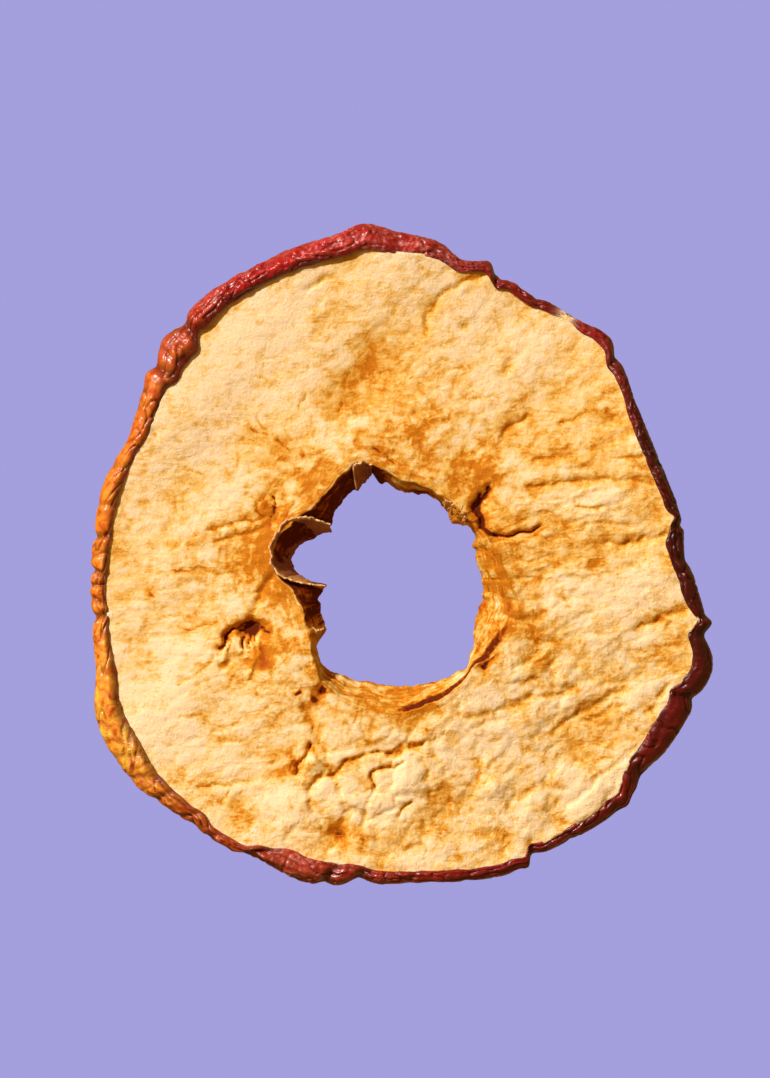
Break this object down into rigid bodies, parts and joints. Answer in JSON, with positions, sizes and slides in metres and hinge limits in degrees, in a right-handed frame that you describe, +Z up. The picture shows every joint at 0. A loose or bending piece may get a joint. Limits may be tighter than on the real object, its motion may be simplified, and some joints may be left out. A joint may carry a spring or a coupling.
{
  "type": "dried apple ring",
  "caption": "Dried ring of apple, cored and left in its red peel, warped and creased from drying.",
  "frame": {"origin": "middle of the ring's bounding box, on the surface that it lies on", "axes": "+Z up, out of the face that the picture shows; +Y towards the picture's top; +X towards its right"},
  "size_m": [0.0566, 0.0598, 0.0054],
  "materials": {
    "dried_flesh": "matte",
    "peel": "satin"
  },
  "bodies": {
    "root": {"apple_chip": "dried_flesh"}
  },
  "joints": []
}
